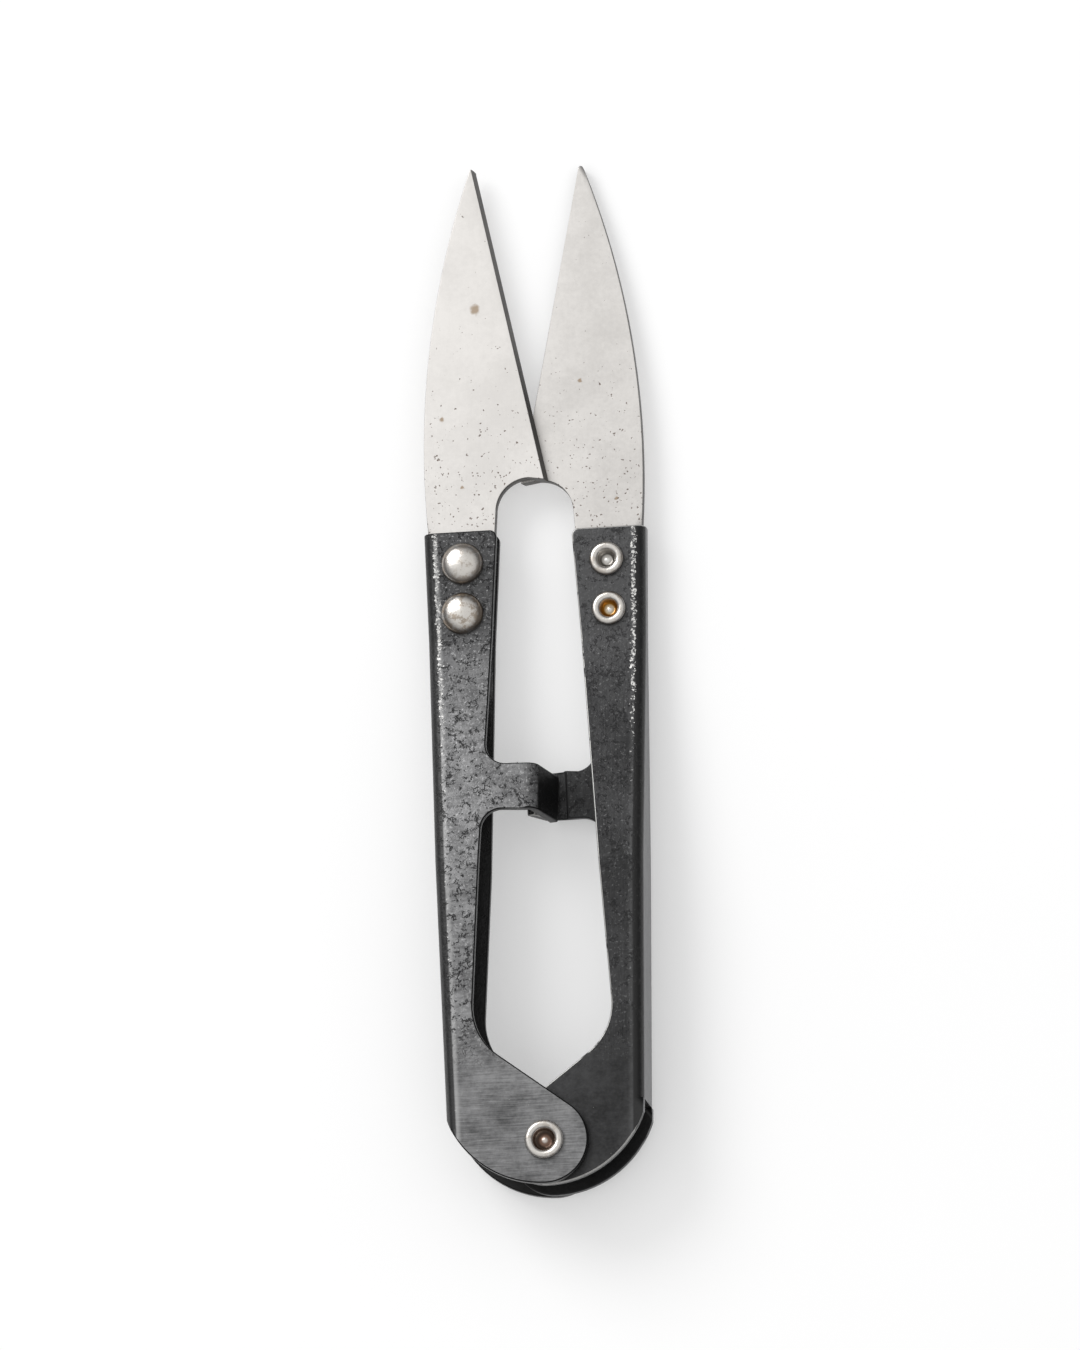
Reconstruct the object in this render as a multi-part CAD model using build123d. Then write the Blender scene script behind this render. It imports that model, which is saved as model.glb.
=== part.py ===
from build123d import *
from math import asin, atan2, cos, hypot, pi, radians, sin, sqrt, tan
import os

# Thread snips: two folded sheet-steel handles on one rivet, a ground steel blade riveted in each.
# Millimetres. Origin on the pivot axis, midway between the blades. +Y to the tips, +X right, +Z up.
# Every "arm" piece is drawn once as the left arm; the right arm is the same turned 180 degrees about Y.

# Overall sizes
overall_length = 106.7  # tail to blade tips
overall_width = 22.7  # across the two collars, open
tail_width = 20.0  # across the two ears
tail_depth = 9.2  # across the outer pair of ears

# Sheet-steel handles
sheet = 0.9
bend_radius = 1.1  # outside of the folds
bend_inside_radius = 0.25
crease_radius = 9.0  # where the sides bend towards the collar
ear_clearance = 0.1  # between nested ears
ear_lobe_radius = 4.4  # round the pivot
ear_line_angle = 53.0  # direction of the normal of the ear's straight edge
tail_arc_ease = 0.6  # the tail arc is this much larger than half the tail width
throat_radius = 6.3
outer_web_end = 1.5
inner_web_end = 4.0
slope_rear = 29.0
slope_front = 52.5
collar_front = 63.8
collar_corner_radius = 0.7
collar_gap = 7.5  # between the collars, open
flange_lean = 3.74  # degrees, inner edge of each side

# Hooked stop tabs
tab_width = 4.8
tab_centre = 36.7
tab_flare = 2.1
tab_start = -2.0  # where the flat of the left tab hands over to its folded end
tab_overlap = 0.2
tab_lean = 17.5  # degrees from upright
tab_bend_radius = 1.2  # outside
stop_gap = 0.15
leg_clearance = 0.45

# Blades
blade_thickness = 1.3
blade_gap = 0.06
blade_spine_inset = 0.43  # spine set in from the collar's side
blade_spine_radius = 92.0
tip_offset = 5.55
tip_width = 0.5
heel_reach = 1.45  # cutting edge past the centre line
heel_rise = 5.2  # heel ahead of the collar
heel_land = 1.9
notch_radius = 3.45
shoulder_gap = 0.05
tang_length = 10.8
tang_side_gap = 0.3
edge_bevel_width = 0.3
edge_land = 0.1

# Blade rivets
blade_rivet_radius = 1.25
blade_head_radius = 2.15
blade_head_height = 1.1
blade_rim_radius = 1.75
blade_rim_height = 0.5
blade_rivet_hollow = 0.9
blade_hollow_depth = 0.45  # left below the collar after the end is rolled out
rivet_line_inset = 0.3  # inwards of the middle of the collar
front_rivet_setback = 3.4
rivet_pitch = 5.2
rivet_hole_clearance = 0.03

# Pivot rivet
pivot_radius = 1.5
pivot_head_radius = 2.65
pivot_head_height = 1.3
pivot_rim_radius = 1.97
pivot_rim_height = 0.5
pivot_hollow = 1.1
pivot_hollow_depth = 0.45
hollow_point = 0.1  # rise of the conical bottom of each hollow
pivot_running_clearance = 0.05

# Torsion spring
wire = 0.9
coil_clearance = 0.5
coil_end_gap = 0.15
coil_full_turns = 3
leg_end_y = 14.0
leg_end_gap = 0.01
leg_splay = 24.0  # degrees from the long axis
coil_steps = 60
coil_ease = 0.3  # how gently the coil runs out into the straight legs

half_outer = tail_depth / 2
half_inner = half_outer - sheet - ear_clearance
blade_bottom = blade_gap / 2
blade_top = blade_bottom + blade_thickness
collar_top = blade_top + sheet
collar_bottom = blade_bottom - sheet
tip_y = overall_length - ear_lobe_radius
tail_arc_radius = tail_width / 2 + tail_arc_ease
tail_arc_y = tail_arc_radius - ear_lobe_radius
tail_corner_y = tail_arc_y - sqrt(tail_arc_radius**2 - (tail_width / 2) ** 2)
web_slope = (overall_width - tail_width) / 2 / (collar_front - tail_corner_y)


def web_x(y, inset=0.0):
    """Outside of the left handle's side wall, or its inside when inset by the sheet."""
    return -tail_width / 2 - web_slope * (y - tail_corner_y) + inset


def flange_x(y):
    """Inner edge of the left handle's flanges."""
    return -collar_gap / 2 - (collar_front - y) * tan(radians(flange_lean))


def flange_z(y, half_depth):
    """Outside of the upper flange on the slope between the rear and the collar."""
    share = (y - slope_rear) / (slope_front - slope_rear)
    return half_depth + (collar_top - half_depth) * share


def side_band(half_depth, inset):
    """Everything between the outsides of the two flanges, or between their insides."""
    high = half_depth - inset
    top = collar_top - inset
    bottom = collar_bottom + inset
    far = collar_front + 5
    outline = Polyline(
        (-20, high), (slope_rear, high), (slope_front, top), (far, top),
        (far, bottom), (slope_front, bottom), (slope_rear, -high), (-20, -high), close=True,
    )
    band = make_face(outline)
    creases = band.vertices().filter_by(lambda v: abs(v.X) > 0 and slope_rear - 1 < v.X < slope_front + 1)
    return extrude(Plane.YZ * fillet(creases, crease_radius), 40, both=True)


def throat_corner():
    """Where the flange's inner edge would meet the ear's straight edge."""
    a = radians(ear_line_angle)
    lean = tan(radians(flange_lean))
    start = flange_x(0)
    y = (ear_lobe_radius - start * cos(a)) / (sin(a) + lean * cos(a))
    return (flange_x(y), y)


def side_plan():
    """Plan of one flange with its ear."""
    a = radians(ear_line_angle)
    r = ear_lobe_radius
    tangent = (r * cos(a), r * sin(a))
    corner = throat_corner()
    edge = Polyline(
        tangent, corner, (flange_x(collar_front), collar_front),
        (web_x(collar_front), collar_front), (web_x(tail_corner_y), tail_corner_y),
    )
    halfway = (
        -tail_arc_radius * sin(asin(tail_width / 2 / tail_arc_radius) / 2),
        tail_arc_y - tail_arc_radius * cos(asin(tail_width / 2 / tail_arc_radius) / 2),
    )
    tail = ThreePointArc((web_x(tail_corner_y), tail_corner_y), halfway, (0, -r))
    low = (r * cos(a / 2 - pi / 4), r * sin(a / 2 - pi / 4))
    lobe = ThreePointArc((0, -r), low, tangent)
    plan = make_face(edge + tail + lobe)
    plan = fillet(plan.vertices().sort_by_distance((*corner, 0))[0], throat_radius)
    front = (flange_x(collar_front), collar_front, 0)
    return fillet(plan.vertices().sort_by_distance(front)[0], collar_corner_radius)


def tab_plan(plan):
    """The plan of the upper flange with the flat of the stop tab, flared where it leaves the flange."""
    left = flange_x(tab_centre) - 1.5
    width = tab_start - left
    flat = plan + Pos(left + width / 2, tab_centre) * Rectangle(width, tab_width)
    roots = flat.vertices().filter_by(
        lambda v: abs(abs(v.Y - tab_centre) - tab_width / 2) < 0.01 and v.X < tab_start - 0.5
    )
    return fillet(roots, tab_flare)


def stop_leg(half_depth):
    """The end of the stop tab, folded down into a leaning leg that is level along Y."""
    fall = atan2(half_depth - collar_top, slope_front - slope_rear)
    top = flange_z(tab_centre, half_depth)
    lean = radians(tab_lean)
    centre_line = (sheet + stop_gap) / 2 / cos(lean)
    corner = centre_line - (top - sheet / 2) * tan(lean) - tab_start
    front_inner = flange_z(tab_centre + tab_width / 2, half_inner) - sheet
    low = -front_inner + leg_clearance + sheet / 2 * sin(lean)
    fold_lean = asin(cos(fall) * sin(lean))
    drop = (top - low) / cos(fall)
    foot = corner + (drop - sheet / 2) * tan(fold_lean)
    path = FilletPolyline(
        (-tab_overlap, -sheet / 2), (corner, -sheet / 2), (foot, -drop), radius=tab_bend_radius - sheet / 2,
    )
    fold_line = Vector(sin(fall) * tan(lean), cos(fall), -sin(fall)).normalized()
    plane = Plane(origin=(tab_start, tab_centre, top), x_dir=(1, 0, 0), z_dir=-fold_line)
    return extrude(plane * trace(path, sheet), tab_width / 2, both=True)


def web_edges(solid, x_at):
    """The long edges where a side wall meets the upper and lower flanges."""
    return solid.edges().filter_by(
        lambda e: abs((e @ 0.5).X - x_at((e @ 0.5).Y)) < 0.02
        and abs((e @ 0).Y - (e @ 1).Y) > 0.5
    )


def folded_sheet(half_depth, web_end):
    """The channel section: side wall, two folds and two wide flanges, open towards the centre line."""
    outside = make_face(Polyline(
        (web_x(web_end), web_end), (40, web_end), (40, collar_front),
        (web_x(collar_front), collar_front), close=True,
    ))
    start = web_end - 3
    stop = collar_front + 3
    inside = make_face(Polyline(
        (web_x(start, sheet), start), (41, start), (41, stop), (web_x(stop, sheet), stop), close=True,
    ))
    skin = side_band(half_depth, 0) & extrude(outside, 20, both=True)
    skin = fillet(web_edges(skin, web_x), bend_radius)
    hollow = side_band(half_depth, sheet) & extrude(inside, 20, both=True)
    hollow = fillet(web_edges(hollow, lambda y: web_x(y, sheet)), bend_inside_radius)
    return skin - hollow


def handle(half_depth, web_end, hole_radius):
    """One handle: folded channel, collar, two ears with the pivot hole, and the hooked stop tab."""
    ears = side_band(half_depth, 0) - side_band(half_depth, sheet)
    ears = ears & Pos(0, web_end - 15, 0) * Box(60, 30, 20)
    sides = folded_sheet(half_depth, web_end) + ears
    plan = side_plan()
    split = (blade_bottom + blade_top) / 2
    upper = sides & Pos(0, 0, split) * extrude(tab_plan(plan), 10)
    lower = sides & Pos(0, 0, split) * extrude(plan, -10)
    body = upper + lower + stop_leg(half_depth)
    body = body - Cylinder(hole_radius, 20)
    for x, y in rivet_places():
        body = body - Pos(x, y) * Cylinder(blade_rivet_radius + rivet_hole_clearance, 20)
    return body


def rivet_places():
    """Centres of the front and rear blade rivets, near the middle of the collar."""
    places = []
    for step in range(2):
        y = collar_front - front_rivet_setback - rivet_pitch * step
        places.append(((web_x(y) + flange_x(y)) / 2 + rivet_line_inset, y))
    return places


def blade():
    """Ground blade: curved spine, straight cutting edge, notch at the heel and a tang in the collar."""
    shoulder = collar_front + shoulder_gap
    spine = web_x(collar_front) + blade_spine_inset
    heel_y = collar_front + heel_rise
    notch_top = heel_y + 0.3
    notch_x = heel_reach - heel_land
    notch_y = notch_top - notch_radius
    tip_back = (-tip_offset - tip_width / 2, tip_y - 0.15)
    tip_edge = (-tip_offset + tip_width / 2, tip_y - 0.3)
    back = RadiusArc((spine, shoulder), tip_back, blade_spine_radius)
    nose = ThreePointArc(tip_back, (-tip_offset, tip_y), tip_edge)
    front = Polyline(tip_edge, (heel_reach, heel_y), (notch_x, notch_top))
    diagonal = notch_radius * sqrt(0.5)
    notch = ThreePointArc(
        (notch_x, notch_top), (notch_x - diagonal, notch_y + diagonal), (notch_x - notch_radius, notch_y)
    )
    tang_rear = collar_front - tang_length
    tang_in = sheet + bend_inside_radius
    tang = Polyline(
        (notch_x - notch_radius, notch_y), (flange_x(shoulder) - tang_side_gap, shoulder),
        (flange_x(tang_rear) - tang_side_gap, tang_rear), (web_x(tang_rear, tang_in), tang_rear),
        (web_x(shoulder, tang_in), shoulder), (spine, shoulder),
    )
    plan = make_face(back + nose + front + notch + tang)
    body = Pos(0, 0, blade_bottom) * extrude(plan, blade_thickness)
    body = body - edge_bevel(tip_edge, (heel_reach, heel_y))
    for x, y in rivet_places():
        body = body - Pos(x, y) * Cylinder(blade_rivet_radius + rivet_hole_clearance, 20)
    return body


def edge_bevel(tip, heel):
    """The wedge ground off the outer face along the cutting edge."""
    dx = tip[0] - heel[0]
    dy = tip[1] - heel[1]
    length = hypot(dx, dy)
    out = (dy / length, -dx / length, 0)
    plane = Plane(origin=(*heel, blade_bottom), x_dir=out, z_dir=(dx / length, dy / length, 0))
    rise = blade_thickness
    side = 1 if plane.y_dir.Z > 0 else -1
    wedge = make_face(Polyline(
        (0, side * edge_land), (-edge_bevel_width, side * rise), (-edge_bevel_width, side * (rise + 1)),
        (2, side * (rise + 1)), (2, side * edge_land), close=True,
    ))
    return extrude(plane * wedge, length + 3) + extrude(plane * wedge, -3)


def semi_tubular_rivet(top, bottom, shank, head, head_height, rim, rim_height, hollow, depth):
    """A domed head on top, a shank, and a hollow end rolled out below."""
    crown = ThreePointArc((0, top + head_height), (head * 0.62, top + head_height * 0.84), (head, top + 0.15))
    body = Polyline((head, top + 0.15), (head, top), (shank, top), (shank, bottom), (rim - 0.12, bottom))
    roll = ThreePointArc(
        (rim - 0.12, bottom), (rim, bottom - rim_height * 0.45), (rim - 0.4, bottom - rim_height)
    )
    mouth = ThreePointArc(
        (rim - 0.4, bottom - rim_height), (hollow + 0.12, bottom - rim_height * 0.75), (hollow, bottom)
    )
    bore = Polyline((hollow, bottom), (hollow, bottom + depth), (0, bottom + depth + hollow_point),
                    (0, top + head_height))
    profile = make_face(crown + body + roll + mouth + bore)
    return revolve(Plane.XZ * profile, Axis.Z)


def blade_rivet(place):
    """Holds the blade's tang between the flanges of the collar."""
    rivet = semi_tubular_rivet(
        collar_top, collar_bottom, blade_rivet_radius, blade_head_radius, blade_head_height,
        blade_rim_radius, blade_rim_height, blade_rivet_hollow, blade_hollow_depth,
    )
    return Pos(*place, 0) * rivet


def pivot_rivet():
    """Joins the four ears; its hollow end is rolled out on the upper side."""
    rivet = semi_tubular_rivet(
        half_outer, -half_outer, pivot_radius, pivot_head_radius, pivot_head_height,
        pivot_rim_radius, pivot_rim_height, pivot_hollow, pivot_hollow_depth,
    )
    return Rot(180, 0, 0) * rivet


def torsion_spring():
    """Coil round the pivot rivet, one leg forward inside each handle to spread them."""
    coil = pivot_radius + coil_clearance + wire / 2
    leg_x = web_x(leg_end_y, sheet + wire / 2 * cos(radians(leg_splay)) + leg_end_gap)
    reach = hypot(leg_x, leg_end_y)
    off = atan2(leg_end_y, leg_x) + acos_of(coil / reach)
    swept = 2 * pi * coil_full_turns + 3 * pi - 2 * off
    half_room = half_inner - sheet - coil_end_gap - wire / 2
    right_root = Vector(-coil * cos(off), coil * sin(off), -half_room)
    left_root = Vector(coil * cos(off), coil * sin(off), half_room)
    right_end = Vector(-leg_x, leg_end_y, -half_room)
    left_end = Vector(leg_x, leg_end_y, half_room)
    turns = []
    for step in range(coil_steps + 1):
        share = step / coil_steps
        angle = pi - off - swept * share
        rise = half_room * (2 * share - 1)
        turns.append((coil * cos(angle), coil * sin(angle), rise))
    leaving = [(right_root - right_end).normalized(), (left_end - left_root).normalized()]
    winding = Spline(*turns, tangents=leaving, tangent_scalars=(coil_ease, coil_ease))
    path = Line(right_end, right_root) + winding + Line(left_root, left_end)
    section = Plane(origin=right_end, z_dir=right_root - right_end) * Circle(wire / 2)
    return sweep(section, path=path)


def acos_of(value):
    """Angle between a circle's radius at a tangent point and the line to the point outside."""
    return atan2(sqrt(1 - value**2), value)


turned = Rot(0, 180, 0)
front_place, rear_place = rivet_places()
pieces = {
    "left_handle": handle(half_outer, outer_web_end, pivot_radius + rivet_hole_clearance),
    "right_handle": turned * handle(half_inner, inner_web_end, pivot_radius + pivot_running_clearance),
    "left_blade": blade(),
    "right_blade": turned * blade(),
    "left_front_rivet": blade_rivet(front_place),
    "left_rear_rivet": blade_rivet(rear_place),
    "right_front_rivet": turned * blade_rivet(front_place),
    "right_rear_rivet": turned * blade_rivet(rear_place),
    "pivot_rivet": pivot_rivet(),
    "torsion_spring": torsion_spring(),
}

os.makedirs("parts", exist_ok=True)
for name, shape in pieces.items():
    solids = shape.solids()
    assert len(solids) == 1, f"{name} has {len(solids)} solids"
    solid = solids[0]
    box = solid.bounding_box()
    print(f"{name:18s} {solid.volume:9.2f} mm3  {box.min} {box.max} valid {solid.is_valid}")
    export_step(solid, f"parts/{name}.step")
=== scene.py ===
# %% [markdown]
# # Thread snips
# Thread snips are squeezed between thumb and fingers to nip a thread. Two handles are pressed from
# 0.9 mm sheet steel, each folded into a channel and pinched flat round the root of a ground blade.
# One rivet through four nested ears is the hinge, and a hidden coil spring holds the tool open. The
# parts come in at their real size and place. This lesson softens their edges, turns new rivets, winds
# the spring, and gives every surface the metal or coating it has on the bench.

# %% Load the frame
import math

import bmesh
import bpy
from mathutils import Matrix, Vector


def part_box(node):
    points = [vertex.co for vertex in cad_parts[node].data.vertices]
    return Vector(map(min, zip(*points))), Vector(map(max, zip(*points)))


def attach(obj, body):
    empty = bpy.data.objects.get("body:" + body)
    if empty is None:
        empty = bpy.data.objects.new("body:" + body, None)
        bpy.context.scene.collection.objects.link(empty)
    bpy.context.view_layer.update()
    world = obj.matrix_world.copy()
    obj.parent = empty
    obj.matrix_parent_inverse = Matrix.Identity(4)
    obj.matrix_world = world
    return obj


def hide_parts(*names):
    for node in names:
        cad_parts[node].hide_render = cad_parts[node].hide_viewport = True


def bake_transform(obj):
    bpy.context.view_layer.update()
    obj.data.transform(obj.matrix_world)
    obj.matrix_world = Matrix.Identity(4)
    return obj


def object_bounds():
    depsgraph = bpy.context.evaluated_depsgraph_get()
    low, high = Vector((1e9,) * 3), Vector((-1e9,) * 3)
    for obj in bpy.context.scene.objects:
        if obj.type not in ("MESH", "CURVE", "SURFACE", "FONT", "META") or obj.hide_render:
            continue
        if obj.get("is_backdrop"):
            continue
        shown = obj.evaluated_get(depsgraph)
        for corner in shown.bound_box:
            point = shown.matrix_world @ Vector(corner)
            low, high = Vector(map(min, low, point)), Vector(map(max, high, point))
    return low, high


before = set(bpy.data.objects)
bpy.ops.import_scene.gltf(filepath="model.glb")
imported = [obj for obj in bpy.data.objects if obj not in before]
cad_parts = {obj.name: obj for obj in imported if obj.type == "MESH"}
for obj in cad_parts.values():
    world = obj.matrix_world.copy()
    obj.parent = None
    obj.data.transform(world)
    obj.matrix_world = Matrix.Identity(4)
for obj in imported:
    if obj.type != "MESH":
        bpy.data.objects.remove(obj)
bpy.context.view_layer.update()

MM = 0.001

# %% [markdown]
# ## Small helpers for colour and nodes
# Colours are picked as sRGB hex values, as a paint chart gives them, but shaders mix light in linear
# values, so one function converts. A second adds a shader node with its settings and its links, which
# keeps each material readable: a socket gets either a number or the output of an earlier node.

# %% Colour and node helpers
def linear(hex_colour):
    """An sRGB hex colour as the linear RGBA that a shader wants."""
    channels = [int(hex_colour[i:i + 2], 16) / 255 for i in (1, 3, 5)]
    return [c / 12.92 if c <= 0.04045 else ((c + 0.055) / 1.055) ** 2.4 for c in channels] + [1.0]


def add(tree, kind, sockets=(), **settings):
    """A new node with its settings, and its sockets set or linked."""
    node = tree.nodes.new(kind)
    for name, value in settings.items():
        setattr(node, name, value)
    for key, value in dict(sockets).items():
        if isinstance(value, bpy.types.NodeSocket):
            tree.links.new(value, node.inputs[key])
        else:
            node.inputs[key].default_value = value
    return node


def new_material(name):
    """An empty node material with its output node, and object coordinates counted in millimetres."""
    material = bpy.data.materials.new(name)
    material.use_nodes = True
    tree = material.node_tree
    tree.nodes.clear()
    place = add(tree, "ShaderNodeTexCoord")
    mm = add(tree, "ShaderNodeMapping", {"Vector": place.outputs["Object"], "Scale": (1 / MM,) * 3})
    return material, tree, mm.outputs[0]


def stretched(tree, mm, x, y, z):
    """Millimetre coordinates squeezed so that a pattern runs in streaks of these lengths."""
    return add(tree, "ShaderNodeMapping", {"Vector": mm, "Scale": (1 / x, 1 / y, 1 / z)}).outputs[0]


def ramp(tree, value, low, high, ease="SMOOTHSTEP"):
    """0 below low, 1 above high, eased between; low above high turns it round."""
    flip = low > high
    node = add(tree, "ShaderNodeMapRange", {
        "Value": value, "From Min": min(low, high), "From Max": max(low, high),
        "To Min": float(flip), "To Max": float(not flip),
    }, interpolation_type=ease)
    return node.outputs["Result"]


def maths(tree, operation, a, b=0.0):
    """One sum on numbers or node outputs."""
    return add(tree, "ShaderNodeMath", {0: a, 1: b}, operation=operation).outputs[0]


def blend_colour(tree, share, a, b):
    """Colour a where share is 0, b where it is 1."""
    return add(tree, "ShaderNodeMix", {0: share, 6: a, 7: b}, data_type="RGBA").outputs[2]


print("linear mid grey:", round(linear("#808080")[0], 3))

# %% [markdown]
# ## Coated steel of the handles
# The handles are dipped in a thin black lacquer after pressing. It pools and crackles on the long
# sides, shows the fine grinding lines of the sheet on the ears, and chips to bright steel along the
# folds, which are black. The faces turned inwards and the side faces of the flanges are painted black
# as painted shade. A grain of a few tenths of a millimetre drives colour, roughness and bump together,
# because a scratch changes all three. The left pressing is greyer than the right one and was ground
# the other way, so the same recipe is mixed twice.

# %% Where a point lies on a handle
FOLD_LINE_MM = 9.94  # half width across the side walls at the pivot
FOLD_SLOPE = 0.0221  # how much wider each millimetre further forward
FOLD_RADIUS_MM = 1.1
TEAR_MM = 0.9  # length and depth of the ragged tears in the lacquer beside a fold


def handle_zones(tree, mm):
    """Masks from the place in millimetres: ear, collar, front half, fold, its torn border, the band beside
    the fold that takes a painted highlight, wall, and the inner and side faces that take painted shade.
    """
    x, y, z = add(tree, "ShaderNodeSeparateXYZ", {0: mm}).outputs
    side = maths(tree, "ABSOLUTE", x)
    across = maths(tree, "SUBTRACT", side, maths(tree, "MULTIPLY", y, FOLD_SLOPE))
    start = FOLD_LINE_MM - FOLD_RADIUS_MM
    fold = maths(tree, "MULTIPLY", ramp(tree, across, start - 0.05, start + 0.15),
                 ramp(tree, across, FOLD_LINE_MM - 0.01, FOLD_LINE_MM - 0.10))
    ragged = add(tree, "ShaderNodeTexNoise", {
        "Vector": mm, "Scale": 1 / TEAR_MM, "Detail": 3.0, "Roughness": 0.7,
    })
    torn = maths(tree, "ADD", across, maths(tree, "MULTIPLY", ragged.outputs["Fac"], TEAR_MM))
    border = maths(tree, "MULTIPLY", ramp(tree, torn, start - 0.15, start + 0.25),
                   ramp(tree, torn, start + 0.75, start + 0.50))
    # The band just inside each fold, which takes a painted highlight.
    highlight_border = maths(tree, "MULTIPLY", ramp(tree, across, start - 0.55, start - 0.10),
                         ramp(tree, across, start + 0.20, start - 0.02))
    normal = add(tree, "ShaderNodeNewGeometry").outputs["Normal"]
    lift = add(tree, "ShaderNodeSeparateXYZ", {0: normal}).outputs[2]
    wall = ramp(tree, across, FOLD_LINE_MM - 0.10, FOLD_LINE_MM - 0.01)
    # The faces turned in towards the middle plane, and the side faces of the flanges, are masked for painted
    # shade.
    off_the_stop = maths(tree, "MAXIMUM", ramp(tree, side, 4.0, 5.5), ramp(tree, y, 28.0, 24.0))
    inside = maths(tree, "MULTIPLY", ramp(tree, maths(tree, "MULTIPLY", lift, z), -0.3, -1.2), off_the_stop)
    sheared = maths(tree, "MULTIPLY", ramp(tree, maths(tree, "ABSOLUTE", lift), 0.55, 0.30),
                    ramp(tree, across, start - 0.1, start - 0.4))
    return {
        "ear": ramp(tree, y, 12.0, 6.0), "collar": ramp(tree, y, 42.0, 57.0),
        "front": ramp(tree, y, 30.0, 52.0), "fold": fold, "border": border,
        "highlight_border": highlight_border, "wall": wall, "inside": maths(tree, "MAXIMUM", inside, sheared),
    }


print("fold runs from", round(FOLD_LINE_MM - FOLD_RADIUS_MM, 2), "to", FOLD_LINE_MM, "mm off the centre line")

# %% [markdown]
# ## Lacquer crackle
# Old lacquer shrinks and cracks like dried mud. A cell pattern gives the cracks, because the borders
# between its cells meet in threes as real ones do. Noise bends them, and a second noise keeps them
# only in patches, so that the net never looks complete.

# %% Lacquer crackle
CRACKLE_MM = 0.62  # between cracks
BEND_MM = 0.9  # the most that noise moves a point of a crack


def crackle_lines(tree, mm, zones):
    """Short broken cracks: the borders of bent cells, kept only in patches and off the ears."""
    wobble = add(tree, "ShaderNodeTexNoise", {"Vector": mm, "Scale": 1 / 0.4, "Detail": 2.0})
    wandering = add(tree, "ShaderNodeVectorMath", {
        0: wobble.outputs["Color"], "Scale": BEND_MM,
    }, operation="SCALE")
    shifted = add(tree, "ShaderNodeVectorMath", {0: mm, 1: wandering.outputs[0]}, operation="ADD")
    cells = add(tree, "ShaderNodeTexVoronoi", {
        "Vector": shifted.outputs[0], "Scale": 1 / CRACKLE_MM,
    }, feature="DISTANCE_TO_EDGE")
    line = ramp(tree, cells.outputs["Distance"], 0.15, 0.04)
    patch = add(tree, "ShaderNodeTexNoise", {"Vector": mm, "Scale": 1 / 1.1, "Detail": 4.0, "Roughness": 0.8})
    broken = ramp(tree, patch.outputs["Fac"], 0.50, 0.58)
    kept = maths(tree, "MULTIPLY", maths(tree, "MULTIPLY", line, broken),
                 maths(tree, "SUBTRACT", 1.0, zones["ear"]))
    return kept, cells.outputs["Distance"]


print("crackle spacing mm:", CRACKLE_MM)

# %% [markdown]
# ## The coat itself
# The colours are laid one over another: two greys stirred by noise, then the collar's tone, which on
# the left handle is painted shade, a pale band beside the folds that is a painted highlight, pale flecks
# that are painted glints, cracks, the side walls in a grey that is painted reflection, the black of the
# folds, the black of the inner and side faces that is painted shade, and bright chips on top of all.

# %% Coated steel
CHIP_BRIGHT = "#d8d7d5"
LACQUER_AND_SHADE_BLACK = "#0b0b0c"
BORDER_HIGHLIGHT_GREY = "#b4b4b4"
GLINT_FLECK_GREY = "#b9b9ba"
CRACK_BLACK = "#151516"


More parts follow.
